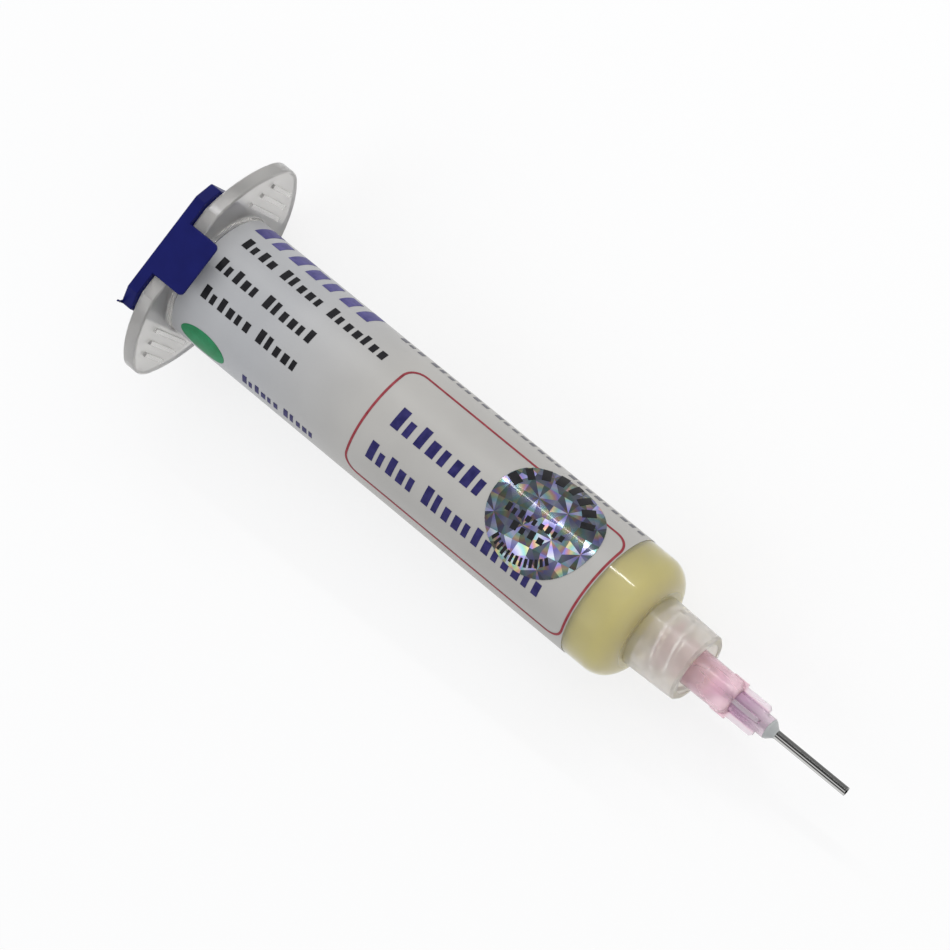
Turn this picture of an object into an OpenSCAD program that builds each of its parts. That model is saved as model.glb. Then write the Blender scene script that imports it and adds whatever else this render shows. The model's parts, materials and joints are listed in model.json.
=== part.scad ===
// Dispensing syringe with a luer-lock needle, an end cap, a piston and a fill of gel flux.
// It lies on its lower cap clip and on the front shoulder of the barrel.
// Millimetres. Each piece is drawn along +X from the rear face of the flange, with +Z through
// the upper clip, and is then laid down by at_rest().

/* [Barrel] */
// Radius of the barrel tube outside
barrel_r = 9.1; // [8.6:0.05:9.6]
// Wall of the barrel tube
barrel_wall = 1.15; // [0.9:0.05:1.3]
// Distance from the flange's rear face to the flat front shoulder
barrel_len = 79.5; // [76:0.5:100]
// Outer radius of the rounded front shoulder
shoulder_r = 3.5; // [2.5:0.1:4]
// Fillet where the tube meets the flange
root_fillet = 0.6; // [0.3:0.05:0.7]

/* [Flange] */
// Thickness of the flange
flange_thick = 2.15; // [1.8:0.05:2.6]
// Half distance between the two flats
flange_flat = 11.5; // [10.9:0.1:12]
// Radius of the long side arcs
flange_arc_r = 18.2; // [17.5:0.1:20]
// Distance of the side arcs' centres from the axis
flange_arc_off = 5.3; // [4.8:0.1:5.8]
// Radius of the two ear tips
flange_tip_r = 6.4; // [4:0.1:7]
// Rounding of the flange's edges
flange_round = 0.3; // [0.15:0.05:0.5]
// Grip ribs on each ear
rib_count = 3; // [2:1:4]
// Spacing of the grip ribs
rib_pitch = 1.8; // [1.3:0.05:2]
// Width of a grip rib
rib_w = 0.6; // [0.4:0.05:1]
// Height of a grip rib above the flange
rib_h = 0.4; // [0.2:0.05:0.6]
// Length of the innermost grip rib
rib_len = 10.6; // [8:0.2:12]
// How much shorter each next rib is
rib_step = 2.1; // [1:0.1:2.5]

/* [Luer lock] */
// Length of the threaded collar beyond the shoulder
collar_len = 8.25; // [7:0.25:10]
// Radius of the collar outside, at its root
collar_root_r = 5.28; // [5:0.02:5.6]
// Radius of the collar outside, at its mouth
collar_mouth_r = 5.02; // [4.9:0.02:5.2]
// Rounding of the collar's front edge
collar_round = 0.35; // [0.2:0.05:0.6]
// Radius of the collar bore, at the thread's root
thread_root_r = 4; // [3.9:0.02:4.1]
// Height of the thread
thread_h = 0.5; // [0.4:0.02:0.55]
// Advance of the two-start thread in one turn
thread_lead = 5; // [4.8:0.1:5.2]
// Radius of the nozzle at its tip
nozzle_tip_r = 1.965; // [1.9:0.005:2]
// Change of the nozzle's radius per millimetre of length
nozzle_taper = 0.03; // [0.028:0.001:0.032]
// How far the nozzle stands out of the collar
nozzle_proud = 1.9; // [1.5:0.1:2.5]
// Radius of the channel in the nozzle
channel_r = 1.15; // [0.9:0.05:1.3]

/* [End cap] */
// Half width of the cap plate, between the sides without clips
cap_half_w = 9.8; // [9.6:0.1:11]
// Thickness of the cap plate
cap_plate = 1.75; // [1.4:0.05:2.2]
// Corner chamfer of the plate, along the clips' side
cap_corner_y = 2.4; // [1:0.1:3]
// Corner chamfer of the plate, along the other side
cap_corner_z = 1.6; // [1:0.1:3]
// Width of a clip
clip_w = 8.2; // [6:0.1:10]
// How far a clip reaches in front of the flange
clip_reach = 3; // [2.4:0.1:4]
// Play between a clip's lip and the flange's flat
clip_play = 0.05; // [0.03:0.01:0.1]
// Depth of the lip at the clip's end
clip_lip = 0.3; // [0.2:0.05:0.4]
// Thickness of a clip beside the flange
clip_wall = 0.55; // [0.5:0.05:0.9]
// Length of a lip's flat crest
lip_crest = 0.8; // [0.4:0.1:1.2]
// Rounding of the clip's front corners
clip_corner_r = 0.7; // [0.3:0.1:1.5]
// Depth of the plug in the barrel
plug_len = 4; // [3:0.25:6]
// Wall of the hollow plug
plug_wall = 1.2; // [0.8:0.1:1.6]
// Play between the plug and the bore
plug_gap = 0.06; // [0.03:0.01:0.1]
// Thickness of the flash that the mould left at one corner of the plate
flash_thick = 0.25; // [0.15:0.05:0.4]

/* [Piston and flux] */
// Length of the piston, nose included
piston_len = 12; // [10:0.5:14]
// Length of the flux column, up to the flat of the front shoulder
flux_len = 50; // [20:1:60]
// Depth of the piston's wiper lips beyond its waist
lip_depth = 0.65; // [0.4:0.05:0.9]
// Length of one wiper lip
lip_len = 1.5; // [1:0.1:2]
// Length of the piston's conical nose
nose_len = 2.6; // [2:0.1:3.5]
// Wall of the hollow piston
piston_wall = 1; // [0.8:0.1:1.4]
// Play between the piston's lips and the bore
piston_gap = 0.05; // [0.03:0.01:0.1]

/* [Needle] */
// Length of the hub's round body
hub_len = 12.5; // [11.5:0.5:14]
// Radius of the hub's body at its rear
hub_rear_r = 2.75; // [2.7:0.05:2.85]
// Radius of the hub's body at its front
hub_front_r = 2.62; // [2.55:0.01:2.68]
// Rounding of the hub body's front
hub_round = 1.1; // [0.6:0.1:1.3]
// How far the hub reaches into the collar
hub_depth = 5.9; // [5:0.1:6.3]
// Length of the finned stem in front of the body
fin_len = 4.3; // [3:0.1:6]
// Radius over the fins beside the hub body
fin_root_r = 2.74; // [2.7:0.02:2.9]
// Radius over the fins in front of the body
fin_r = 2.36; // [2:0.02:2.6]
// Thickness of a fin
fin_thick = 0.6; // [0.4:0.05:1]
// Number of fins
fin_count = 4; // [3:1:6]
// Radius of the stem between the fins
stem_r = 1.5; // [1.2:0.05:1.7]
// Length of the bare stem in front of the fins
stem_nose = 1.3; // [0.8:0.1:2]
// Play between the nozzle and the hub's socket
socket_gap = 0.04; // [0.02:0.01:0.08]
// Radius of the steel tube outside
tube_r = 0.635; // [0.4:0.005:0.8]
// Wall of the steel tube
tube_wall = 0.215; // [0.1:0.005:0.25]
// Length of steel tube outside the hub
tube_out = 12.9; // [6:0.1:25]
// Length of steel tube held in the hub
tube_in = 7.2; // [4:0.1:7.4]
// Length of the glue bead in front of the stem
bead_len = 1.25; // [0.8:0.05:2]

/* [Label] */
// Start of the label from the flange's rear face
label_start = 2.85; // [2.8:0.05:5]
// Margin between the label's front edge and the rounded shoulder
label_margin = 3.55; // [2:0.05:10]
// Thickness of the label
label_thick = 0.07; // [0.05:0.01:0.15]
// Angle left open at the label's seam
seam_angle = 4; // [2:0.5:10]
// Thickness of the print
ink = 0.03; // [0.02:0.01:0.06]
// Length of the red frame
frame_len = 38.2; // [20:0.1:60]
// Distance of the red frame behind the label's front edge
frame_in = 0.15; // [0.1:0.05:1]
// Line width of the red frame
frame_line = 0.35; // [0.2:0.05:0.8]
// Corner radius of the red frame
frame_corner = 2.5; // [1:0.1:4]
// Height of the black lines' blocks
lines_h = 1.9; // [1.2:0.1:2.2]
// Distance of the black lines from the label's rear edge
lines_in = 2.6; // [1:0.1:6]
// Height of the heading's blocks
heading_h = 4.6; // [3:0.1:5]
// Distance of the heading from the label's rear edge
heading_in = 1.7; // [1:0.1:6]
// Height of the side line's blocks
side_h = 1.3; // [0.8:0.1:1.6]
// Distance of the side line from the label's rear edge
side_in = 26.2; // [20:0.1:30]
// Height of the small line's blocks
small_h = 1.7; // [1:0.1:2]
// Distance of the small line from the label's rear edge
small_in = 13; // [11:0.1:16]
// Half length of the oval
oval_x = 3.9; // [2:0.1:5]
// Half width of the oval
oval_w = 2.35; // [1:0.05:3]
// Distance of the oval's centre from the label's rear edge
oval_in = 5.7; // [5.5:0.1:9]

/* [Seal] */
// Radius of the round seal
seal_r = 8; // [5:0.25:9]
// Thickness of the seal
seal_thick = 0.04; // [0.03:0.01:0.08]
// Distance of the seal's centre behind the label's front edge
seal_back = 10.5; // [9.5:0.1:30]

/* [Hidden] */
$fn = 96;

// Play between faces that lie on each other
touch = 0.01;
// Overlap that joins two shapes of one piece
weld = 0.05;
// How far a cut runs past a face
past = 1;

bore_r = barrel_r - barrel_wall;
// Centre of the shoulder's rounding
shoulder_x = barrel_len - shoulder_r;
shoulder_c = barrel_r - shoulder_r;
inner_round = shoulder_r - barrel_wall;
inner_end = barrel_len - barrel_wall;

floor_thick = 0.8;
collar_end = barrel_len + collar_len;
// Floor between the collar and the nozzle
collar_floor = barrel_len + floor_thick;
nozzle_end = collar_end + nozzle_proud;
function nozzle_r(x) = nozzle_tip_r + nozzle_taper * (nozzle_end - x);
// Height of the two-start thread's turns over each other, and its widths
thread_pitch = thread_lead / 2;
thread_root_w = 1;
thread_crest_w = 0.4;
thread_sunk = 0.15;
thread_step = 15;
// Distances of the ridges' ends from the collar's floor and mouth
thread_in = 1.2;
thread_out = 0.7;

// Distance of the innermost rib behind the centre of the ear tip's arc
rib_in = 0.15;
// Centre of the ear tip's arc, and the angle at which it meets the long side arcs
tip_y = sqrt(pow(flange_arc_r - flange_tip_r, 2) - pow(flange_arc_off, 2));
tip_angle = atan2(flange_arc_off, tip_y);
// How far the tips stand proud of the side arcs, so that their edges cross
tip_proud = 0.02;

// Outer face of a clip, which is the plate's edge too
clip_half = flange_flat + clip_play + clip_lip + clip_wall;
clip_front = flange_thick + clip_reach;
// Distance of a lip in front of the flange
lip_gap = 0.15;
// Width of the flash at its root and at its tip
flash_root = 0.5;
flash_tip = 0.1;
plug_r = bore_r - plug_gap;

piston_front = inner_end - flux_len;
piston_rear = piston_front - piston_len;
lip_r = bore_r - piston_gap;
waist_r = lip_r - lip_depth;
nose_flat_r = 1.5;
// Chamfer of the piston's rear edge, and how much its hollow narrows towards the nose
piston_edge = 0.3;
piston_draft = 0.2;

hub_start = collar_end - hub_depth;
hub_end = hub_start + hub_len;
fin_end = hub_end + fin_len;
stem_end = fin_end + stem_nose;
bead_end = stem_end + bead_len;
tube_tip = stem_end + tube_out;
tube_start = stem_end - tube_in;
// Length of the fins over the hub's body, and the chamfer of their front corners
fin_over = 2.3;
fin_edge = 0.35;
bead_r = stem_r - 0.04;
bead_tip_r = tube_r + 0.12;
bead_edge = 0.1;
// How far the hub's tapered socket runs on in front of the nozzle
socket_over = 1;
lug_r = thread_root_r - 0.2;
lug_w = 0.85;
lug_len = 3;
// Slope of the thread at the lug, and the lug's place just in front of the hub's rear face
lug_slope = atan(thread_lead / (2 * PI * (thread_root_r - thread_h)));
lug_x = hub_start + lug_w / 2 + lug_len / 2 * sin(lug_slope) + weld;
// Place of the ridge's centre line at angle 0, half a pitch beside the lugs at 90 degrees
thread_zero = lug_x - thread_pitch / 2 - thread_lead / 4;

label_end = shoulder_x - label_margin;
label_r0 = barrel_r + touch;
label_r1 = label_r0 + label_thick;
ink_r0 = label_r1 + touch;
ink_r1 = ink_r0 + ink;
seal_r0 = ink_r1 + touch;
seal_r1 = seal_r0 + seal_thick;
seal_ink_r0 = seal_r1 + touch;
seal_ink_r1 = seal_ink_r0 + ink;

// The syringe rests on a line from the lower clip's front edge to the rounded shoulder
rest_run = shoulder_x - clip_front;
rest_drop = clip_half - shoulder_c;
rest_tilt = atan2(rest_drop, rest_run) - asin(shoulder_r / norm([rest_run, rest_drop]));
rest_lift = clip_front * sin(rest_tilt) + clip_half * cos(rest_tilt);
rear_end = -cap_plate * cos(rest_tilt) - clip_half * sin(rest_tilt);
front_end = tube_tip * cos(rest_tilt) + tube_r * sin(rest_tilt);

// Lays the syringe down with the middle of its box over the origin
module at_rest()
    translate([-(rear_end + front_end) / 2, 0, rest_lift])
        rotate([0, rest_tilt, 0])
            children();

// Turns a shape built along +Z to lie along +X
module along()
    rotate([0, 90, 0])
        children();

// Turns a profile of [radius, x] points about the axis
module turned(points)
    along()
        rotate_extrude()
            polygon(points);

// Places a shape built along +Z with its start at the given angle from the top, towards -Y
module at_angle(angle)
    along()
        rotate([0, 0, angle + 180])
            children();

// Flange

// Rectangle from the axis to x, as thick as the flange, with its two outer corners rounded
module rounded_end(x) {
    inner = x - flange_round;
    square([inner, flange_thick]);
    translate([inner, flange_round]) square([flange_round, flange_thick - 2 * flange_round]);
    translate([inner, flange_round])
        intersection() {
            circle(r = flange_round);
            translate([0, -flange_round]) square(flange_round);
        }
    translate([inner, flange_thick - flange_round])
        intersection() {
            circle(r = flange_round);
            square(flange_round);
        }
}

// Disc along +Z with rounded edges
module rounded_disc(r)
    rotate_extrude()
        rounded_end(r);

// Bar along Y between the two flats, up to where the side arcs meet the ear tips
module flat_bar() {
    length = 2 * flange_arc_r * cos(tip_angle);
    for (side = [0, 1])
        mirror([side, 0, 0])
            rotate([90, 0, 0])
                translate([0, 0, -length / 2])
                    linear_extrude(length)
                        rounded_end(flange_flat);
}

// Flange along +Z: a lens of two discs, cut by the flats, with a rounded tip on each ear
module flange_plate() {
    intersection() {
        translate([flange_arc_off, 0, 0]) rounded_disc(flange_arc_r);
        translate([-flange_arc_off, 0, 0]) rounded_disc(flange_arc_r);
        flat_bar();
    }
    for (side = [-1, 1])
        translate([0, side * tip_y, 0])
            rounded_disc(flange_tip_r + tip_proud);
}

module flange() {
    along() flange_plate();
    along()
        translate([0, 0, flange_thick - weld])
            root();
    grip_ribs();
}

// Concave fillet between the flange and the tube
module root()
    rotate_extrude()
        difference() {
            square([barrel_r + root_fillet, root_fillet + weld]);
            translate([barrel_r + root_fillet, root_fillet + weld]) circle(r = root_fillet);
        }

// Ribs across each ear, shorter towards the tip
module grip_ribs()
    for (side = [-1, 1], i = [0 : rib_count - 1]) {
        length = rib_len - rib_step * i;
        y = side * (tip_y - rib_in + i * rib_pitch);
        translate([flange_thick - weld, y - rib_w / 2, -length / 2])
            cube([rib_h + weld, rib_w, length]);
    }

// Barrel

module shell()
    difference() {
        along() {
            cylinder(r = barrel_r, h = shoulder_x);
            translate([0, 0, shoulder_x])
                rotate_extrude() {
                    translate([shoulder_c, 0]) circle(r = shoulder_r);
                    translate([0, -weld]) square([shoulder_c, shoulder_r + weld]);
                }
        }
        bore();
    }

// Inside of the barrel: tube, rounded shoulder and the channel in the nozzle
module bore()
    along() {
        translate([0, 0, -past]) cylinder(r = bore_r, h = shoulder_x + past);
        translate([0, 0, shoulder_x])
            rotate_extrude() {
                intersection() {
                    translate([shoulder_c, 0]) circle(r = inner_round);
                    square([bore_r, inner_round]);
                }
                translate([0, -weld]) square([shoulder_c, inner_round + weld]);
            }
        cylinder(r = channel_r, h = nozzle_end + past);
    }

// Collar with its thread, and the tapered nozzle inside it
module luer_lock() {
    difference() {
        turned([[channel_r, inner_end + weld], [collar_root_r, inner_end + weld],
                [collar_root_r, barrel_len], [collar_mouth_r, collar_end - collar_round],
                [collar_mouth_r - collar_round, collar_end], [channel_r, collar_end]]);
        translate([collar_floor, 0, 0])
            along()
                cylinder(r = thread_root_r, h = collar_len);
    }
    difference() {
        along()
            translate([0, 0, inner_end + weld])
                cylinder(r1 = nozzle_r(inner_end + weld), r2 = nozzle_tip_r,
                         h = nozzle_end - inner_end - weld);
        along() cylinder(r = channel_r, h = nozzle_end + past);
    }
    for (start = [0, 180])
        thread_ridge(start);
}

// Section of a helical ridge at an angle: rear root, rear crest, front crest, front root
function ridge_section(angle, x, r_root, r_crest, w_root, w_crest) = [
    for (p = [[r_root, -w_root / 2], [r_crest, -w_crest / 2], [r_crest, w_crest / 2], [r_root, w_root / 2]])
        [p[0] * cos(angle), p[0] * sin(angle), x + p[1]]
];

// Helical ridge of four-sided section along +Z, from one angle to another
module helix(from, to, zero, start, r_root, r_crest, w_root, w_crest) {
    steps = ceil((to - from) / thread_step);
    rings = [
        for (i = [0 : steps])
            let (a = from + (to - from) * i / steps)
            each ridge_section(a + start, zero + thread_lead * a / 360, r_root, r_crest, w_root, w_crest)
    ];
    sides = [
        for (i = [0 : steps - 1], k = [0 : 3])
            let (n = (k + 1) % 4, a = 4 * i, b = 4 * i + 4)
            each [[a + k, b + n, a + n], [a + k, b + k, b + n]]
    ];
    ends = [[0, 1, 2], [0, 2, 3], for (t = [[2, 1, 0], [3, 2, 0]]) [for (v = t) 4 * steps + v]];
    polyhedron(points = rings, faces = concat(sides, ends));
}

// One start of the collar's inner thread
module thread_ridge(start) {
    first = 360 * (collar_floor + thread_in - thread_zero) / thread_lead;
    last = 360 * (collar_end - thread_out - thread_zero) / thread_lead;
    along()
        helix(first, last, thread_zero, start, thread_root_r + thread_sunk, thread_root_r - thread_h,
              thread_root_w + thread_sunk, thread_crest_w);
}

module barrel()
    color([0.8, 0.79, 0.78])
        at_rest() {
            difference() {
                flange();
                bore();
            }
            shell();
            luer_lock();
        }

// Label and its print

module label()
    color([0.8, 0.8, 0.79])
        at_rest()
            at_angle(180 + seam_angle / 2)
                rotate_extrude(angle = 360 - seam_angle)
                    translate([label_r0, label_start])
                        square([label_thick, label_end - label_start]);

// Thin patch of print between two places along the axis and two angles from the top
module ink_patch(x0, x1, a0, a1)
    at_angle(a0)
        rotate_extrude(angle = a1 - a0)
            translate([ink_r0, x0])
                square([ink, x1 - x0]);

// Layer around the label between two radii
module layer(r0, r1)
    translate([label_start, 0, 0])
        along()
            difference() {
                cylinder(r = r1, h = label_end - label_start);
                translate([0, 0, -past]) cylinder(r = r0, h = label_end - label_start + 2 * past);
            }

// Flat drawing laid on a layer at an angle from the top; its x is the distance along the axis
module printed(angle, r0 = ink_r0, r1 = ink_r1)
    intersection() {
        layer(r0, r1);
        rotate([angle, 0, 0])
            linear_extrude(r1 + past)
                children();
    }

// Oval of given half axes, as it lies on a layer of radius r
module wrapped_oval(half_x, half_w, r, points = 48)
    polygon([
        for (i = [0 : points - 1])
            let (t = 360 * i / points)
            [half_x * cos(t), r * sin(half_w * sin(t) / r * 180 / PI)]
    ]);

frame_front = label_end - frame_in;
frame_rear = frame_front - frame_len;
frame_top = -55.5;
frame_bottom = 61;
// Angles that the frame's corner and line take up on the label
corner_angle = asin(frame_corner / ink_r0);
line_angle = asin(frame_line / ink_r0);
// The frame's straight lines stop this far short of its corners
frame_break = 0.02;
break_angle = asin(frame_break / ink_r0);

module print_red()
    color([0.68, 0.25, 0.28])
        at_rest() {
            for (x = [frame_rear, frame_front - frame_line])
                ink_patch(x, x + frame_line, frame_top + corner_angle + break_angle,
                          frame_bottom - corner_angle - break_angle);
            for (a = [frame_top, frame_bottom - line_angle])
                ink_patch(frame_rear + frame_corner + frame_break,
                          frame_front - frame_corner - frame_break, a, a + line_angle);
            for (end = [-1, 1], side = [-1, 1])
                frame_corner_arc(end, side);
        }

// Quarter ring at one corner of the frame
module frame_corner_arc(end, side)
    printed(side > 0 ? frame_bottom - corner_angle : frame_top + corner_angle)
        translate([end > 0 ? frame_front - frame_corner : frame_rear + frame_corner, 0])
            intersection() {
                difference() {
                    circle(r = frame_corner);
                    circle(r = frame_corner - frame_line);
                }
                translate([end > 0 ? 0 : -2 * frame_corner, side > 0 ? -2 * frame_corner : 0])
                    square(2 * frame_corner);
            }

// Angles of the other rows and of the oval from the top, towards -Y
upper_angle = -9.5;
lower_angle = 26.5;
small_angle = 60;
heading_angle = -76;
side_angle = -82;
oval_angle = 58.5;

// Rows of plain blocks stand where the label has lines of words. A row takes the number of blocks
// in each word; a block's pitch is a share of the row's height.
block_shares = [0.66, 0.5, 0.6];
block_heights = [0.72, 0.72, 0.95, 0.72];
word_space = 0.6;
function blocks_before(words, k) = k == 0 ? 0 : words[k - 1] + blocks_before(words, k - 1);

module block_row(x0, words, height, pitch_share, lean = 0) {
    pitch = pitch_share * height;
    for (k = [0 : len(words) - 1], i = [0 : words[k] - 1]) {
        x = x0 + (blocks_before(words, k) + i + k * word_space) * pitch;
        w = pitch * block_shares[i % 3];
        h = height * (i == 0 ? 1 : block_heights[(i + k) % 4]);
        polygon([[x, -height / 2], [x + w, -height / 2], [x + w + lean * h, h - height / 2],
                 [x + lean * h, h - height / 2]]);
    }
}

// The three black lines: angle, share of their distance from the rear edge and blocks in each word
black_lines = [[-44, 1, [4, 5, 7]], [-14.8, 0.88, [5, 6]], [11.3, 1.12, [6, 5]]];

module print_black()
    color([0.07, 0.07, 0.08])
        at_rest()
            for (line = black_lines)
                printed(line[0])
                    block_row(label_start + line[1] * lines_in, line[2], lines_h, 0.79);

// Rows in the frame, sized with it, and the small line
module print_navy()
    color([0.18, 0.18, 0.42])
        at_rest() {
            printed(upper_angle)
                block_row(frame_rear + 0.095 * frame_len, [8], 0.079 * frame_len, 0.673);
            printed(lower_angle)
                block_row(frame_rear + 0.077 * frame_len, [5, 12], 0.071 * frame_len, 0.644);
            printed(small_angle)
                block_row(label_start + small_in, [6, 5], small_h, 0.665);
        }

module print_violet()
    color([0.3, 0.26, 0.5])
        at_rest()
            printed(heading_angle)
                block_row(label_start + heading_in, [7], heading_h, 0.663, 0.12);

module print_grey()
    color([0.4, 0.4, 0.42])
        at_rest()
            printed(side_angle)
                block_row(label_start + side_in, [3, 7, 8, 9], side_h, 1.15);

module print_green()
    color([0.1, 0.5, 0.3])
        at_rest()
            printed(oval_angle)
                translate([label_start + oval_in, 0])
                    wrapped_oval(oval_x, oval_w, ink_r1);

// Seal

seal_angle = -21.3;
seal_x = label_end - seal_back;

module hologram_seal()
    color([0.7, 0.72, 0.78])
        at_rest()
            printed(seal_angle, seal_r0, seal_r1)
                translate([seal_x, 0])
                    wrapped_oval(seal_r, seal_r, seal_r1);

// Blocks on an arc of the seal, from one angle to another
module block_arc(count, from, to, r, height, pitch)
    for (i = [0 : count - 1])
        rotate(from + (to - from) * i / (count - 1))
            translate([r - height / 2, -pitch * block_shares[i % 3] / 2])
                square([height, pitch * block_shares[i % 3]]);

// Blocks on the seal, all sized with it: a tall arc above, two sloping rows and a small arc below
module print_seal()
    color([0.05, 0.05, 0.06])
        at_rest()
            printed(seal_angle, seal_ink_r0, seal_ink_r1)
                translate([seal_x, 0])
                    scale(seal_r) {
                        translate([-0.1, 0]) {
                            block_arc(8, 164, 28, 0.775, 0.23, 0.24);
                            block_arc(13, 241, 319, 0.775, 0.12, 0.085);
                        }
                        rotate(8) {
                            translate([0, -0.13]) block_row(-0.655, [9], 0.14, 0.92);
                            translate([0, -0.34]) block_row(-0.42, [4], 0.14, 1.2);
                        }
                    }

// Flux and piston

module flux()
    color([0.78, 0.73, 0.46])
        at_rest()
            difference() {
                intersection() {
                    bore_fill(touch);
                    translate([piston_rear, 0, 0])
                        along()
                            cylinder(r = bore_r, h = nozzle_end - piston_rear);
                }
                piston_space(touch);
            }

// The barrel's inside, smaller by a play all round
module bore_fill(play)
    along() {
        cylinder(r = bore_r - play, h = shoulder_x);
        translate([0, 0, shoulder_x])
            rotate_extrude() {
                intersection() {
                    translate([shoulder_c, 0]) circle(r = inner_round - play);
                    square([bore_r, inner_round]);
                }
                translate([0, -weld]) square([shoulder_c, inner_round - play + weld]);
            }
        cylinder(r = channel_r - play, h = nozzle_end);
    }

// The piston's front, with everything behind it
module piston_space(play) {
    front = piston_front + play;
    lip = front - nose_len;
    turned([[0, piston_rear - past], [barrel_r, piston_rear - past], [barrel_r, lip], [waist_r, lip],
            [nose_flat_r, front], [0, front]]);
}

module piston()
    color([0.9, 0.9, 0.88])
        at_rest()
            difference() {
                turned(piston_profile());
                turned(piston_hollow());
            }

function piston_profile() =
    let (lip = piston_front - nose_len)
    [[0, piston_rear], [lip_r - piston_edge, piston_rear], [lip_r, piston_rear + piston_edge],
     [lip_r, piston_rear + lip_len], [waist_r, piston_rear + lip_len + lip_depth],
     [waist_r, lip - lip_len - lip_depth], [lip_r, lip - lip_len], [lip_r, lip - touch],
     [waist_r, lip - touch], [nose_flat_r, piston_front], [0, piston_front]];

function piston_hollow() =
    let (r = waist_r - piston_wall, deep = piston_front - nose_len - piston_wall)
    let (nose = piston_front - 1.4 * piston_wall)
    [[0, piston_rear - past], [r + piston_edge, piston_rear - past], [r, piston_rear + past],
     [r - piston_draft, deep], [nose_flat_r, nose], [0, nose]];

// End cap

module end_cap()
    color([0.12, 0.14, 0.42])
        at_rest() {
            translate([-cap_plate, 0, 0])
                along() {
                    linear_extrude(cap_plate) cap_outline();
                    linear_extrude(flash_thick) flash_outline();
                }
            difference() {
                along() cylinder(r = plug_r, h = plug_len);
                translate([weld, 0, 0])
                    along()
                        cylinder(r = plug_r - plug_wall, h = plug_len);
            }
            for (side = [0, 180])
                rotate([side, 0, 0])
                    clip();
        }

// Plate with chamfered corners; the clips stand on the sides that face +X and -X here
module cap_outline() {
    y_clip = cap_half_w - cap_corner_y;
    z_side = clip_half - cap_corner_z;
    polygon([
        for (q = [[1, 1], [-1, 1], [-1, -1], [1, -1]])
            each (q[0] * q[1] > 0
                ? [[q[0] * clip_half, q[1] * y_clip], [q[0] * z_side, q[1] * cap_half_w]]
                : [[q[0] * z_side, q[1] * cap_half_w], [q[0] * clip_half, q[1] * y_clip]])
    ]);
}

// Thin ragged flash that runs on from the plate's side at one corner
module flash_outline() {
    run = cap_corner_z;
    middle = (flash_root + flash_tip) / 2;
    translate([run - clip_half, -cap_half_w])
        polygon([[flash_root, 0], [-run, 0], [-run, flash_tip], [-0.7 * run, 2 * flash_tip],
                 [-0.6 * run, flash_tip], [-0.3 * run, middle], [0, flash_root],
                 [flash_root, flash_root]]);
}

// Clip over the flange's flat, with a ramped lip in front of the flange
module clip() {
    inner = clip_half - clip_wall;
    lip_x = flange_thick + lip_gap;
    intersection() {
        translate([0, clip_w / 2, 0])
            rotate([90, 0, 0])
                linear_extrude(clip_w)
                    polygon([[-weld, clip_half], [-weld, inner], [lip_x, inner], [lip_x, inner - clip_lip],
                             [lip_x + lip_crest, inner - clip_lip], [clip_front, inner],
                             [clip_front, clip_half]]);
        linear_extrude(clip_half)
            clip_face();
    }
}

// Face of a clip seen from above, with rounded front corners
module clip_face() {
    y = clip_w / 2;
    translate([-weld, -y]) square([clip_front - clip_corner_r + weld, clip_w]);
    translate([-weld, -y + clip_corner_r]) square([clip_front + weld, clip_w - 2 * clip_corner_r]);
    for (side = [-1, 1])
        translate([clip_front - clip_corner_r, side * (y - clip_corner_r)])
            circle(r = clip_corner_r);
}

// Needle

module needle_hub()
    color([0.86, 0.68, 0.74])
        at_rest()
            difference() {
                union() {
                    hub_body();
                    for (i = [0 : fin_count - 1])
                        rotate([360 * i / fin_count, 0, 0])
                            fin();
                    for (side = [0, 180])
                        hub_lug(side);
                }
                hub_socket();
            }

module hub_body()
    along() {
        translate([0, 0, hub_start])
            cylinder(r1 = hub_rear_r, r2 = hub_front_r, h = hub_len - hub_round);
        translate([0, 0, hub_end - hub_round])
            rotate_extrude() {
                intersection() {
                    translate([hub_front_r - hub_round, 0]) circle(r = hub_round);
                    square([hub_front_r, hub_round]);
                }
                square([hub_front_r - hub_round, hub_round]);
            }
        translate([0, 0, nozzle_end])
            cylinder(r = stem_r, h = stem_end - nozzle_end);
    }

// Fin along the stem: high beside the body's front, lower in front of it
module fin()
    translate([0, fin_thick / 2, 0])
        rotate([90, 0, 0])
            linear_extrude(fin_thick)
                polygon([[hub_end - fin_over, 0], [fin_end, 0], [fin_end, fin_r - fin_edge],
                         [fin_end - fin_edge, fin_r], [hub_end, fin_r], [hub_end, fin_root_r],
                         [hub_end - fin_over, fin_root_r]]);

// Short sloping lug that rides in the collar's thread
module hub_lug(side)
    rotate([side, 0, 0])
        intersection() {
            translate([hub_start, 0, 0])
                along()
                    cylinder(r = lug_r, h = 2 * lug_len);
            translate([lug_x, hub_rear_r, 0])
                rotate([0, lug_slope, 0])
                    cube([lug_w, 2 * (lug_r - stem_r), lug_len], center = true);
        }

// Tapered socket that fits the nozzle, and the hole for the steel tube
module hub_socket() {
    socket_start = hub_start - past;
    socket_end = nozzle_end + socket_over;
    turned([[0, socket_start], [nozzle_r(socket_start) + socket_gap, socket_start],
            [nozzle_r(socket_end) + socket_gap, socket_end], [tube_r + touch, tube_start],
            [tube_r + touch, stem_end + past], [0, stem_end + past]]);
}

module needle_tube()
    color([0.6, 0.61, 0.62])
        at_rest()
            translate([tube_start, 0, 0])
                along()
                    difference() {
                        cylinder(r = tube_r, h = tube_tip - tube_start);
                        translate([0, 0, -past])
                            cylinder(r = tube_r - tube_wall, h = tube_tip - tube_start + 2 * past);
                    }

module glue_bead()
    color([0.8, 0.83, 0.82])
        at_rest()
            turned([[tube_r + touch, stem_end + touch], [bead_r, stem_end + touch],
                    [bead_r - bead_edge, stem_end + 0.25 * bead_len],
                    [bead_tip_r, stem_end + 0.8 * bead_len],
                    [tube_r + touch, bead_end]]);

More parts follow.
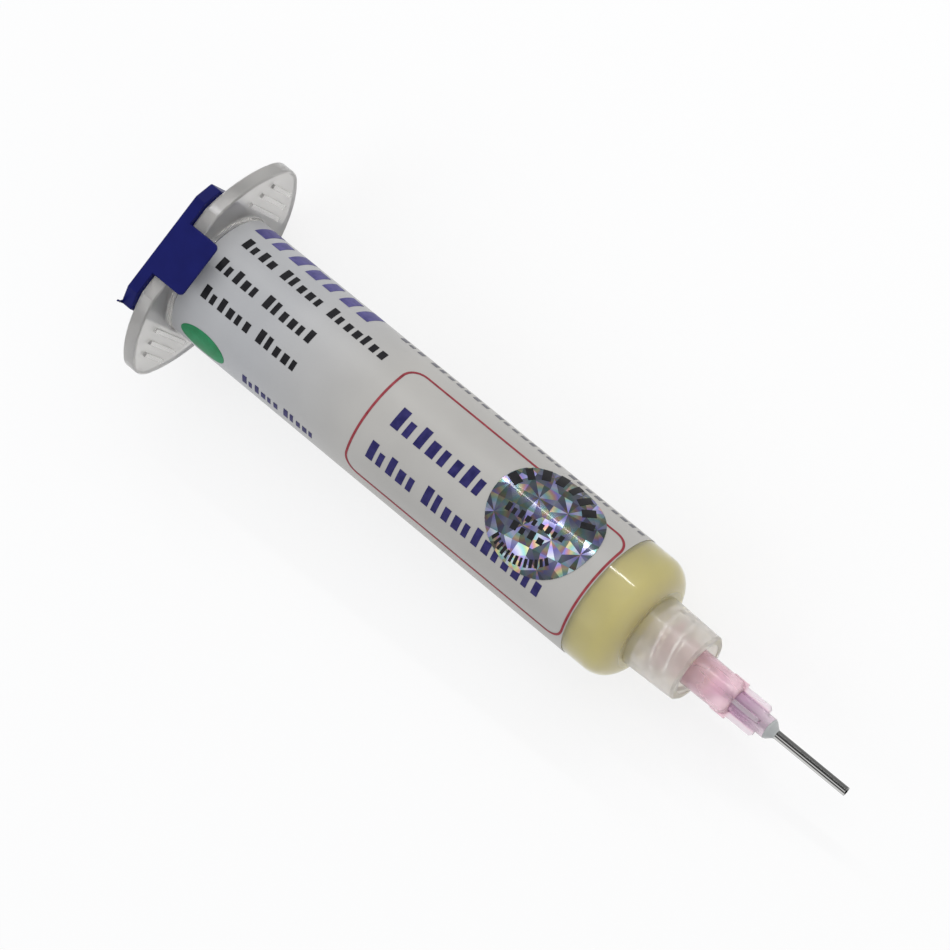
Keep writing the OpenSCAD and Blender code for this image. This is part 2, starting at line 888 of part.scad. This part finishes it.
barrel();
label();
print_red();
print_navy();
print_black();
print_violet();
print_green();
print_grey();
hologram_seal();
print_seal();
flux();
piston();
end_cap();
needle_hub();
needle_tube();
glue_bead();
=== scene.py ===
"""Looks for the flux syringe: clear barrel with a label, a round foil seal, yellow gel, a blue
end cap and a pink needle. Lengths are in metres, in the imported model's own frame."""

import json
import math

import bmesh
import bpy
from mathutils import Matrix, Vector


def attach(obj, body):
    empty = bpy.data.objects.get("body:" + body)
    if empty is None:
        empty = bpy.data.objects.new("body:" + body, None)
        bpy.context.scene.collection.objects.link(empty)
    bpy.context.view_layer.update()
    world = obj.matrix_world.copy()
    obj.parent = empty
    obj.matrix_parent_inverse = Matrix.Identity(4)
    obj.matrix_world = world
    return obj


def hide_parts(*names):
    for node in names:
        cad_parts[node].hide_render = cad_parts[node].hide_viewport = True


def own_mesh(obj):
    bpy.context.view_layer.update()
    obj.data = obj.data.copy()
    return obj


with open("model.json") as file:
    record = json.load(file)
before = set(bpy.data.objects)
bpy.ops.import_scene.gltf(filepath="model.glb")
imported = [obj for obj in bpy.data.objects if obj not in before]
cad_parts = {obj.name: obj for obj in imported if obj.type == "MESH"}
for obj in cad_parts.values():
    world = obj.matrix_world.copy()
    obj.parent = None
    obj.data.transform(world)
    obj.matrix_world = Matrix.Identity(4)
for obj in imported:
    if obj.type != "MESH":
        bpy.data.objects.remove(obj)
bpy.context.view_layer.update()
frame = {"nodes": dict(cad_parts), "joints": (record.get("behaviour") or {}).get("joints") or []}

MM = 0.001

# Places along the syringe, from the flange's rear face towards the needle
HUB_PIVOT_X = 90.0 * MM
SHOULDER_X = 76.0 * MM
BORE_END_X = 78.365 * MM
NOZZLE_END_X = 89.65 * MM
PISTON_LIP_X = 25.75 * MM
SEAL_X = 61.95 * MM
LENGTH = 112.85 * MM

PISTON_TRAVEL = 49.5 * MM
PISTON_NOSE_LEN = 2.6 * MM
PISTON_NOSE_R = 1.5 * MM
PISTON_WAIST_R = 7.25 * MM
SEAL_R = 9.3 * MM
WIDEST_R = 20 * MM

# The seal's centre, as an angle from the top towards -Y
SEAL_ANGLE = math.radians(-21.3)


def joint(name):
    return next(j for j in frame["joints"] if j["name"] == name)


# The syringe's own axes: along it to the needle, to its side, and up; and how far it tilts
AXIS = Vector(joint("needle_unscrew")["axis"]).normalized()
SIDE = Vector((0, 1, 0))
UP = AXIS.cross(SIDE)
ORIGIN = Vector(joint("hub_turn")["pos_m"]) - AXIS * HUB_PIVOT_X
TO_ROW = Matrix((AXIS, SIDE, UP)).transposed().to_4x4()
TO_ROW.translation = ORIGIN
TILT = math.asin(-AXIS.z)


def add_object(name, data):
    made = bpy.data.objects.new(name, data)
    bpy.context.scene.collection.objects.link(made)
    return made


# Turned meshes

TURN_STEPS = 96
ROUND_STEPS = 10
# Corners nearer than this are one, and edges sharper than this aren't smoothed
TURN_MERGE = 0.0001 * MM
SHARP = math.radians(35)


def turned(name, profile):
    """Object whose mesh is a profile of (x, radius) points turned about the syringe's axis."""
    bm = bmesh.new()
    angles = [2 * math.pi * i / TURN_STEPS for i in range(TURN_STEPS)]
    rings = []
    for x, r in profile:
        if r == 0:
            corners = [(x, 0, 0)]
        else:
            corners = [(x, r * math.sin(a), r * math.cos(a)) for a in angles]
        rings.append([bm.verts.new(corner) for corner in corners])
    for a, b in zip(rings, rings[1:]):
        for i in range(TURN_STEPS):
            k = (i + 1) % TURN_STEPS
            corners = [a[i % len(a)], a[k % len(a)], b[k % len(b)], b[i % len(b)]]
            bm.faces.new(list(dict.fromkeys(corners)))
    bmesh.ops.remove_doubles(bm, verts=bm.verts, dist=TURN_MERGE)
    bmesh.ops.recalc_face_normals(bm, faces=bm.faces)
    for face in bm.faces:
        face.smooth = True
    mesh = bpy.data.meshes.new(name)
    bm.to_mesh(mesh)
    bm.free()
    mesh.set_sharp_from_angle(angle=SHARP)
    mesh.transform(TO_ROW)
    return add_object(name, mesh)


def quarter_round(x, r, radius):
    """Points of a quarter round about (x, r), from its outermost point to its foremost."""
    turn = [math.radians(90 * i / ROUND_STEPS) for i in range(ROUND_STEPS + 1)]
    return [(x + radius * math.sin(a), r + radius * math.cos(a)) for a in turn]


# Node trees

# A Mix node's colour sockets go by number, because its sockets of other types have the same names
MIX_A, MIX_B, MIX_RESULT = 6, 7, 2
# The share of a noise's range where its darker colour ends, and where its lighter one starts
CLOUD_DARK, CLOUD_LIGHT = 0.3, 0.7


def add_node(tree, kind, inputs=None, **fields):
    """A new node with its fields set, and each input linked to a socket or set to a value."""
    made = tree.nodes.new(kind)
    for field, value in fields.items():
        setattr(made, field, value)
    for socket, value in (inputs or {}).items():
        if isinstance(value, bpy.types.NodeSocket):
            tree.links.new(value, made.inputs[socket])
        else:
            made.inputs[socket].default_value = value
    return made


def rgba(colour):
    """A colour with its alpha, or a socket as it is."""
    return colour if isinstance(colour, bpy.types.NodeSocket) else (*colour, 1)


class Shader:
    """A node material with a Principled shader, and short ways to add nodes to it."""

    def __init__(self, name, **values):
        self.mat = bpy.data.materials.new(name)
        self.mat.use_nodes = True
        self.tree = self.mat.node_tree
        self.main = self.tree.nodes["Principled BSDF"]
        for socket, value in values.items():
            self.main.inputs[socket.replace("_", " ")].default_value = value
        # Coordinates along and across the syringe, in metres from the flange's rear face
        local = self.node("ShaderNodeTexCoord").outputs["Object"]
        inputs = {"Vector": local, "Location": ORIGIN, "Rotation": (0, TILT, 0)}
        mapping = self.node("ShaderNodeMapping", inputs, vector_type="TEXTURE")
        self.coords = mapping.outputs["Vector"]

    def node(self, kind, inputs=None, **fields):
        return add_node(self.tree, kind, inputs, **fields)

    def link(self, source, socket):
        self.tree.links.new(source, self.main.inputs[socket])

    def math(self, operation, *values):
        made = self.node("ShaderNodeMath", dict(enumerate(values)), operation=operation)
        return made.outputs["Value"]

    def total(self, first, second):
        """Sum of two values, each given with what it is multiplied by."""
        return self.math("ADD", self.math("MULTIPLY", *first), self.math("MULTIPLY", *second))

    def vector(self, operation, *values):
        made = self.node("ShaderNodeVectorMath", dict(enumerate(values)), operation=operation)
        return made.outputs["Vector"]

    def length(self, vector):
        made = self.node("ShaderNodeVectorMath", {0: vector}, operation="LENGTH")
        return made.outputs["Value"]

    def parts(self, vector):
        return self.node("ShaderNodeSeparateXYZ", {"Vector": vector}).outputs

    def joined(self, **parts):
        return self.node("ShaderNodeCombineXYZ", parts).outputs["Vector"]

    def noise(self, scale, detail=3.0, rough=0.5, vector=None):
        inputs = {"Vector": vector or self.coords, "Scale": scale, "Detail": detail,
                  "Roughness": rough}
        return self.node("ShaderNodeTexNoise", inputs).outputs["Fac"]

    def random(self, vector):
        return self.node("ShaderNodeTexWhiteNoise", {"Vector": vector}).outputs["Value"]

    def ramp(self, value, stops):
        made = self.node("ShaderNodeValToRGB", {"Fac": value})
        elements = made.color_ramp.elements
        while len(elements) < len(stops):
            elements.new(0.5)
        for element, (place, colour) in zip(elements, stops):
            element.position = place
            element.color = rgba(colour)
        return made.outputs["Color"]

    def clouded(self, cloud, dark, light):
        """Two colours that a noise takes turns with."""
        return self.ramp(cloud, [(CLOUD_DARK, dark), (CLOUD_LIGHT, light)])

    def mix(self, share, first, second, kind="MIX"):
        inputs = {"Factor": share, MIX_A: rgba(first), MIX_B: rgba(second)}
        made = self.node("ShaderNodeMix", inputs, data_type="RGBA", blend_type=kind)
        return made.outputs[MIX_RESULT]

    def spread(self, value, low, high):
        """A 0 to 1 value taken to the span from low to high."""
        inputs = {"Value": value, "To Min": low, "To Max": high}
        return self.node("ShaderNodeMapRange", inputs).outputs["Result"]

    def stretched(self, along, across):
        """Coordinates whose features are drawn out or pressed along the axis."""
        inputs = {"Vector": self.coords, "Scale": (along, across, across)}
        return self.node("ShaderNodeMapping", inputs).outputs["Vector"]

    def along(self, stops):
        """A value or colour that changes along the syringe, given as (mm, value) pairs."""
        return self.over_length(self.parts(self.coords)["X"], LENGTH, stops)

    def outwards(self, stops):
        """A value or colour that changes away from the axis, given as (mm, value) pairs."""
        radius = self.length(self.vector("MULTIPLY", self.coords, (0, 1, 1)))
        return self.over_length(radius, WIDEST_R, stops)

    def over_length(self, place, length, stops):
        """Ramp of (mm, value) pairs over a length, where a plain number is a grey."""
        shares = [(mm * MM / length, value if isinstance(value, tuple) else (value,) * 3)
                  for mm, value in stops]
        return self.ramp(self.math("DIVIDE", place, length), shares)

    def roughen(self, cloud, middle, share):
        """Roughness that a noise takes up and down by a share of its middle value."""
        rough = self.spread(cloud, middle * (1 - share), middle * (1 + share))
        self.link(rough, "Roughness")

    def bump(self, height, strength, distance):
        inputs = {"Height": height, "Strength": strength, "Distance": distance}
        self.link(self.node("ShaderNodeBump", inputs).outputs["Normal"], "Normal")


# Materials

# Depths of the bump on smooth surfaces, on dull mouldings and on gel, and its strengths
FINE_BUMP = 0.01 * MM
MOULD_BUMP = 0.02 * MM
GEL_BUMP = 0.03 * MM
DULL_STRENGTH = 0.4
GLOSSY_STRENGTH = 0.3
# Shares by which roughness goes up and down
DULL_VARIES = 0.15
GLOSSY_VARIES = 0.2
# Specular level of ink and of the cap's dull plastic
DULL_SPECULAR = 0.15

# Natural polypropylene: its refraction, the gloss of its skin, and its faint flow marks
PLASTIC_IOR = 1.49
SKIN_GLOSS = 0.35
SKIN_ROUGH = 0.07
FLOW_SCALE = 160
FLOW_STRETCH = 0.3
# Where one part of the barrel's moulding turns into the next, in mm
FLANGE_TO_TUBE = (2.4, 3.2)
TUBE_TO_COLLAR = (77.5, 79.8)


def speckled(name, dark, light, scale, rough, depth=FINE_BUMP, **values):
    """A moulded or printed surface: two near colours, a little roughness change, a fine bump."""
    sh = Shader(name, **values)
    sh.cloud = sh.noise(scale)
    sh.colour = sh.clouded(sh.cloud, dark, light)
    sh.link(sh.colour, "Base Color")
    sh.roughen(sh.cloud, rough, DULL_VARIES)
    sh.bump(sh.noise(scale * 6), DULL_STRENGTH, depth)
    return sh


def clear_plastic(name, dark, light, **values):
    """Plastic that light goes through, with faint flow marks and a glossy skin."""
    sh = Shader(name, IOR=PLASTIC_IOR, Coat_Weight=SKIN_GLOSS, Coat_Roughness=SKIN_ROUGH, **values)
    sh.cloud = sh.noise(FLOW_SCALE, vector=sh.stretched(FLOW_STRETCH, 1.0))
    sh.colour = sh.clouded(sh.cloud, dark, light)
    sh.link(sh.colour, "Base Color")
    sh.bump(sh.noise(FLOW_SCALE * 3), GLOSSY_STRENGTH, FINE_BUMP)
    return sh


def milky_plastic(name, dark, light, rough, clear):
    """Clear plastic with an even milky share."""
    sh = clear_plastic(name, dark, light, Transmission_Weight=clear)
    sh.roughen(sh.cloud, rough, GLOSSY_VARIES)
    return sh


def by_part(sh, flange, tube, collar):
    """A value or colour for each part of the barrel, which changes over between them."""
    return sh.along([*zip(FLANGE_TO_TUBE, (flange, tube)), *zip(TUBE_TO_COLLAR, (tube, collar))])


def barrel_plastic():
    """Clear along the tube, where gel wets the wall, and milkier in the flange and collar."""
    sh = clear_plastic("barrel_clear", (0.84, 0.83, 0.8), (0.9, 0.89, 0.86))
    sh.link(by_part(sh, 0.8, 0.92, 0.86), "Transmission Weight")
    sh.link(by_part(sh, 0.28, 0.12, 0.3), "Roughness")
    tone = by_part(sh, (0.88, 0.875, 0.88), (1, 1, 1), (1.08, 1.045, 1.02))
    sh.link(sh.mix(1.0, sh.colour, tone, "MULTIPLY"), "Base Color")
    return sh


def label_paper():
    """Coated paper that the gel warms where it stands behind it."""
    sh = speckled("label_paper", (0.375, 0.38, 0.392), (0.42, 0.425, 0.437), scale=90, rough=0.42)
    warm = sh.clouded(sh.cloud, (0.39, 0.38, 0.362), (0.435, 0.425, 0.405))
    sh.link(sh.mix(sh.along([(16, 0), (34, 1)]), sh.colour, warm), "Base Color")
    return sh


def drawn_steel_with_painted_reflections():
    """Steel tube with drawing lines along it, stained by the glue where the hub holds it. Its
    strong dark and light streaks are partly drawing lines and partly painted reflections of a dark
    and a bright surround.
    """
    sh = Shader("needle_steel", Metallic=1.0)
    lines_and_reflections = sh.noise(3800, detail=1.0, vector=sh.stretched(0.0005, 1.0))
    # Base colour from near black to light grey: painted reflections of a dark and a bright
    # surround, laid over the drawing lines
    steel_and_reflections = sh.ramp(lines_and_reflections, [(0.4, (0.02, 0.02, 0.02)), (0.52, (0.125, 0.125, 0.123)),
                            (0.6, (0.62, 0.62, 0.61))])
    stained = sh.along([(99.8, 1), (100.2, 0)])
    sh.link(sh.mix(stained, steel_and_reflections, (0.2, 0.09, 0.19)), "Base Color")
    sh.link(sh.spread(lines_and_reflections, 0.14, 0.24), "Roughness")
    sh.bump(lines_and_reflections, GLOSSY_STRENGTH, FINE_BUMP)
    return sh


def hub_plastic():
    """Pink body with a mauve core where the steel tube is glued in, and paler fins."""
    sh = milky_plastic("hub_pink", (0.97, 0.68, 0.765), (0.99, 0.75, 0.825), rough=0.28, clear=0.7)
    core = sh.along([(91.5, (0.85, 0.55, 0.72)), (93.5, (0.55, 0.3, 0.5)),
                     (96.5, (0.6, 0.38, 0.54)), (99.5, (0.85, 0.72, 0.8))])
    in_core = sh.math("MULTIPLY", sh.outwards([(1.6, 1), (1.75, 0)]),
                      sh.along([(90, 0), (91.5, 1)]))
    in_fins = sh.math("MULTIPLY", sh.outwards([(1.6, 0), (1.9, 1)]),
                      sh.along([(94.3, 0), (94.5, 1)]))
    body = sh.mix(in_core, sh.colour, core)
    sh.link(sh.mix(in_fins, body, (0.97, 0.88, 0.93)), "Base Color")
    return sh


# The foil's square cells, their turn, the facets of each cell, and the seal's radius
FOIL_CELL = 4.3 * MM
FOIL_TURN = math.radians(12)
FOIL_FACETS = 14
FOIL_R = 8.0 * MM
FOIL_GREYS = [(0.2, (0.05, 0.06, 0.065)), (0.48, (0.14, 0.15, 0.18)),
              (0.66, (0.36, 0.36, 0.46)), (0.84, (1.0, 1.0, 1.0))]
FOIL_COLOURS = [(0.0, (0.3, 0.26, 1.0)), (0.2, (0.55, 0.5, 1.0)), (0.4, (0.8, 0.84, 0.95)),
                (0.54, (0.3, 0.8, 0.85)), (0.64, (0.45, 0.8, 0.4)), (0.75, (1.0, 0.88, 0.3)),
                (0.86, (1.0, 0.42, 0.22)), (1.0, (0.55, 0.25, 0.95))]
FOIL_RIM = [(0.0, (1, 1, 1)), (0.7, (0.95, 0.97, 0.97)), (0.97, (0.5, 0.54, 0.52))]
# Added to a facet's key, this draws a second random number for the facet
SECOND_DRAW = (7, 3, 5)


def seal_laid_flat(sh):
    """Place on the seal as if it were flat, in cells from its centre."""
    place = sh.parts(sh.coords)
    turn = sh.math("ARCTAN2", sh.math("MULTIPLY", place["Y"], -1.0), place["Z"])
    v = sh.math("MULTIPLY", sh.math("SUBTRACT", turn, SEAL_ANGLE), SEAL_R / FOIL_CELL)
    u = sh.math("DIVIDE", sh.math("SUBTRACT", place["X"], SEAL_X), FOIL_CELL)
    return sh.joined(X=u, Y=v)


def foil_facets(sh, flat):
    """Keys of the cell and of the facet at a place, and its distance from the cell's middle."""
    mapping = sh.node("ShaderNodeMapping", {"Vector": flat, "Rotation": (0, 0, FOIL_TURN)})
    grid = mapping.outputs["Vector"]
    cell = sh.vector("FLOOR", grid)
    inner = sh.vector("SUBTRACT", sh.vector("FRACTION", grid), (0.5, 0.5, 0.0))
    part = sh.parts(inner)
    angle = sh.math("ARCTAN2", part["Y"], part["X"])
    facet = sh.math("FLOOR", sh.math("MULTIPLY", angle, FOIL_FACETS / (2 * math.pi)))
    return cell, sh.vector("ADD", cell, sh.joined(Z=facet)), sh.length(inner)


def foil():
    """Diffracting foil: square cells of radiating facets, each with a brightness and colours."""
    sh = Shader("seal_foil", Metallic=0.85, Coat_Weight=0.5, Coat_Roughness=0.06)
    flat = seal_laid_flat(sh)
    cell, facet, outwards = foil_facets(sh, flat)
    level = sh.total((sh.random(cell), 0.4), (sh.random(facet), 0.6))
    grey = sh.ramp(level, FOIL_GREYS)
    start = sh.random(sh.vector("ADD", facet, SECOND_DRAW))
    sweep = sh.math("FRACT", sh.total((start, 3.0), (outwards, 1.3)))
    tinted = sh.mix(1.0, grey, sh.ramp(sweep, FOIL_COLOURS), "MULTIPLY")
    colour = sh.mix(0.8, grey, tinted)
    rim = sh.ramp(sh.math("DIVIDE", sh.length(flat), FOIL_R / FOIL_CELL), FOIL_RIM)
    sh.link(sh.mix(1.0, colour, rim, "MULTIPLY"), "Base Color")
    sh.link(sh.spread(level, 0.3, 0.18), "Roughness")
    return sh


# The darker and the lighter colour of each ink
INKS = {
    "red": ((0.22, 0.03, 0.04), (0.32, 0.055, 0.07)),
    "navy": ((0.012, 0.011, 0.075), (0.032, 0.028, 0.13)),
    "black": ((0.004, 0.004, 0.006), (0.012, 0.012, 0.014)),
    "violet": ((0.05, 0.045, 0.17), (0.1, 0.09, 0.26)),
    "green": ((0.01, 0.17, 0.06), (0.02, 0.24, 0.1)),
    "grey": ((0.12, 0.12, 0.14), (0.18, 0.18, 0.2)),
    "seal": ((0.006, 0.006, 0.008), (0.014, 0.014, 0.016)),
}


def ink(name, dark, light):
    return speckled(name, dark, light, scale=900, rough=0.45, Specular_IOR_Level=DULL_SPECULAR)


def piston_plastic():
    return speckled("piston_plastic", (0.6, 0.6, 0.57), (0.7, 0.7, 0.66), scale=200, rough=0.4,
                    depth=MOULD_BUMP)


def cap_plastic():
    return speckled("cap_plastic", (0.002, 0.004, 0.08), (0.004, 0.007, 0.105), scale=300,
                    rough=0.38, depth=MOULD_BUMP, Specular_IOR_Level=DULL_SPECULAR)


def glue():
    return milky_plastic("glue", (0.5, 0.52, 0.52), (0.6, 0.62, 0.62), rough=0.25, clear=0.3)


def gel():
    return speckled("flux_gel", (0.63, 0.545, 0.095), (0.7, 0.605, 0.13), scale=120, rough=0.45,
                    depth=GEL_BUMP)


def dress(node, shader):
    materials = frame["nodes"][node].data.materials
    materials.clear()
    materials.append(shader.mat)


def dress_cad():
    """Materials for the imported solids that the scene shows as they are."""
    dress("barrel", barrel_plastic())
    dress("label", label_paper())
    for colour, (dark, light) in INKS.items():
        dress(f"print_{colour}", ink(f"ink_{colour}", dark, light))
    dress("hologram_seal", foil())
    dress("piston", piston_plastic())
    dress("needle_hub", hub_plastic())
    dress("needle_tube", drawn_steel_with_painted_reflections())
    dress("glue_bead", glue())


# End cap

CAP_EDGE = 0.18 * MM
CAP_EDGE_STEPS = 3
CAP_MERGE = 0.001 * MM
# Faces that meet at less than the first angle are one; outer edges past the second are rounded
CAP_FLAT = math.radians(0.5)
CAP_SHARP = math.radians(40)
# Only the plate's outline and the clips reach past these, and only the flash past the last one
CAP_OUTLINE_Y = 7 * MM
CAP_OUTLINE_Z = 11.3 * MM
CAP_FLASH_Y = -9.81 * MM


def on_cap_outline(vert):
    """Whether a corner belongs to the plate's outline or to a clip, and not to the flash."""
    y, z = vert.co.y, vert.co.z
    return (abs(z) > CAP_OUTLINE_Z or abs(y) > CAP_OUTLINE_Y) and y >= CAP_FLASH_Y


def is_outer_edge(edge):
    return (edge.is_manifold and edge.is_convex and edge.calc_face_angle() > CAP_SHARP
            and all(on_cap_outline(vert) for vert in edge.verts))


def make_cap():
    """The end cap with its outer edges rounded."""
    bm = bmesh.new()
    bm.from_mesh(frame["nodes"]["end_cap"].data)
    bm.transform(TO_ROW.inverted())
    bmesh.ops.remove_doubles(bm, verts=bm.verts, dist=CAP_MERGE)
    bmesh.ops.dissolve_limit(bm, angle_limit=CAP_FLAT, verts=bm.verts, edges=bm.edges)
    bm.normal_update()
    edges = [edge for edge in bm.edges if is_outer_edge(edge)]
    bmesh.ops.bevel(bm, geom=edges, offset=CAP_EDGE, segments=CAP_EDGE_STEPS, profile=0.5,
                    affect="EDGES")
    mesh = bpy.data.meshes.new("cap_moulding")
    bm.to_mesh(mesh)
    bm.free()
    mesh.transform(TO_ROW)
    mesh.materials.append(cap_plastic().mat)
    cap = add_object("cap_moulding", mesh)
    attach(cap, "end_cap")
    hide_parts("end_cap")


# Gel

# The gel is a hair wider than the bore, as it wets the wall
GEL_R = 7.965 * MM
GEL_ROUND_R = 2.365 * MM
CHANNEL_R = 1.165 * MM
# Between the gel and the piston, and what is left of the column at the end of its travel
GEL_PLAY = 0.03 * MM
GEL_LEFT = 0.3 * MM


def make_gel():
    """The gel in two pieces: a column ahead of the piston, and the nose's filling.
    The column is a thick skin, so that the piston's nose has room in it at the travel's end."""
    travel_end = PISTON_LIP_X + PISTON_TRAVEL
    rear_x = PISTON_LIP_X + GEL_PLAY
    front_x = travel_end + GEL_LEFT
    inner_r = PISTON_WAIST_R + GEL_PLAY
    column = turned("flux_column", [(rear_x, inner_r), (rear_x, GEL_R), (front_x, GEL_R),
                                    (front_x, inner_r), (rear_x, inner_r)])
    # The piston's nose fits into the front piece with the same play
    nose_x = travel_end + GEL_PLAY + PISTON_NOSE_LEN
    nose_slope = (PISTON_WAIST_R - PISTON_NOSE_R) / PISTON_NOSE_LEN
    mouth_r = PISTON_NOSE_R + (nose_x - front_x) * nose_slope
    front = turned("flux_front", [
        (nose_x, 0), (nose_x, PISTON_NOSE_R), (front_x, mouth_r), (front_x, GEL_R),
        *quarter_round(SHOULDER_X, GEL_R - GEL_ROUND_R, GEL_ROUND_R),
        (BORE_END_X, CHANNEL_R), (NOZZLE_END_X, CHANNEL_R), (NOZZLE_END_X, 0)])
    shader = gel()
    for piece in (column, front):
        piece.data.materials.append(shader.mat)
        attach(piece, "barrel")
        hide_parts("flux")
    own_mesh(column)


# Camera

# The photograph is seen from far off: its focal length in pixels, and the distance to the object
FOCAL_PX = 5500.0
FRAME_PX = 950.0
SENSOR_MM = 36.0
DISTANCE = 714.3 * MM
CLIP_START = 10 * MM
# The syringe's axis in the photograph: its angle, how far it nods to the camera, and its roll
AXIS_ANGLE = math.radians(39.41)
AXIS_NOD = math.radians(18.5)
AXIS_ROLL = math.radians(5.5)
# A point of the axis and the pixel that it is seen at
TARGET_X = 47.95 * MM
TARGET_PX = (469.38, 481.77)


def make_camera():
    """Camera that sees the syringe's axis as the photograph does.
    Its space is right, down, forward until the last step turns it to Blender's."""
    axis = Vector((math.cos(AXIS_NOD) * math.cos(AXIS_ANGLE),
                   math.cos(AXIS_NOD) * math.sin(AXIS_ANGLE), -math.sin(AXIS_NOD)))
    left = Vector((-math.sin(AXIS_ANGLE), math.cos(AXIS_ANGLE), 0))
    near = left.cross(axis).normalized()
    near = near if near.z < 0 else -near
    up = math.cos(AXIS_ROLL) * near + math.sin(AXIS_ROLL) * left
    side = -math.cos(AXIS_ROLL) * left + math.sin(AXIS_ROLL) * near
    seen = Vector(((TARGET_PX[0] - FRAME_PX / 2) / FOCAL_PX,
                   (TARGET_PX[1] - FRAME_PX / 2) / FOCAL_PX, 1))
    to_camera = Matrix((axis, side, up)).transposed().to_4x4()
    to_camera.translation = seen * DISTANCE - axis * TARGET_X
    blender_axes = Matrix.Diagonal((1, -1, -1, 1))
    data = bpy.data.cameras.new("camera")
    data.sensor_width = SENSOR_MM
    data.lens = FOCAL_PX / FRAME_PX * SENSOR_MM
    data.clip_start = CLIP_START
    camera = add_object("camera", data)
    camera.matrix_world = TO_ROW @ (blender_axes @ to_camera).inverted()
    bpy.context.scene.camera = camera


# Floor, backdrop and lamps

FLOOR_HALF = 2.0
FLOOR_COLOUR = (0.9, 0.9, 0.9)
FLOOR_ROUGH = 0.9
FLOOR_SPECULAR = 0.1
# How much of the floor is plain white to the camera; the rest keeps the object's shadow
FLOOR_PLAIN = 0.75
SKY_COLOUR = (0.97, 0.98, 1.0)
SKY_STRENGTH = 0.68

LAMP_DISTANCE = 600 * MM
# Direction of the strip lamp, in the syringe's own axes
STRIP_FROM = Vector((-0.317, 0.665, 0.677))


def white_for_views(tree, shader, share):
    """The shader, shown as plain white by a share to camera, glossy and transmission rays."""
    rays = add_node(tree, "ShaderNodeLightPath").outputs
    seen = rays["Is Camera Ray"]
    for kind in ("Is Glossy Ray", "Is Transmission Ray"):
        most = add_node(tree, "ShaderNodeMath", {0: seen, 1: rays[kind]}, operation="MAXIMUM")
        seen = most.outputs["Value"]
    white_share = add_node(tree, "ShaderNodeMath", {0: seen, 1: share}, operation="MULTIPLY")
    white = add_node(tree, "ShaderNodeEmission").outputs["Emission"]
    inputs = {"Fac": white_share.outputs["Value"], 1: shader, 2: white}
    return add_node(tree, "ShaderNodeMixShader", inputs).outputs["Shader"]


def make_floor():
    half = FLOOR_HALF
    corners = [(-half, -half, 0), (half, -half, 0), (half, half, 0), (-half, half, 0)]
    mesh = bpy.data.meshes.new("floor")
    mesh.from_pydata(corners, [], [(0, 1, 2, 3)])
    floor = add_object("floor", mesh)
    mat = bpy.data.materials.new("floor_paper")
    mat.use_nodes = True
    tree = mat.node_tree
    main = tree.nodes["Principled BSDF"]
    main.inputs["Base Color"].default_value = rgba(FLOOR_COLOUR)
    main.inputs["Roughness"].default_value = FLOOR_ROUGH
    main.inputs["Specular IOR Level"].default_value = FLOOR_SPECULAR
    surface = white_for_views(tree, main.outputs["BSDF"], FLOOR_PLAIN)
    tree.links.new(surface, tree.nodes["Material Output"].inputs["Surface"])
    mesh.materials.append(mat)


def make_world():
    world = bpy.data.worlds.new("studio")
    bpy.context.scene.world = world
    world.use_nodes = True
    tree = world.node_tree
    sky = tree.nodes["Background"]
    sky.inputs["Color"].default_value = rgba(SKY_COLOUR)
    sky.inputs["Strength"].default_value = SKY_STRENGTH
    surface = white_for_views(tree, sky.outputs["Background"], 1.0)
    tree.links.new(surface, tree.nodes["World Output"].inputs["Surface"])


def add_lamp(name, direction, size, power, colour=(1, 1, 1), long_side=None):
    """Lamp that shines on the origin: a round one, or a strip along the syringe.
    Only the strip shows in reflections, as the glint along the tube."""
    data = bpy.data.lights.new(name, "AREA")
    data.shape = "RECTANGLE" if long_side else "DISK"
    data.size = size
    if long_side:
        data.size_y = long_side
    data.energy = power
    data.color = colour
    lamp = add_object(name, data)
    lamp.visible_glossy = bool(long_side)
    back = Vector(direction).normalized()
    right = AXIS.cross(back).normalized()
    lamp.matrix_world = Matrix((right, back.cross(right), back)).transposed().to_4x4()
    lamp.location = back * LAMP_DISTANCE


def make_lights():
    add_lamp("key", (0.2, 0.8, 1.2), size=0.5, power=0.9, colour=(1.0, 0.98, 0.95))
    add_lamp("fill", (-0.6, -0.9, 1.0), size=0.4, power=0.6, colour=(0.94, 0.96, 1.0))
    add_lamp("strip", TO_ROW.to_3x3() @ STRIP_FROM, size=0.016, power=0.55, long_side=0.5)


make_camera()
make_floor()
make_world()
make_lights()
dress_cad()
make_cap()
make_gel()

bpy.context.scene.view_settings.view_transform = "Standard"
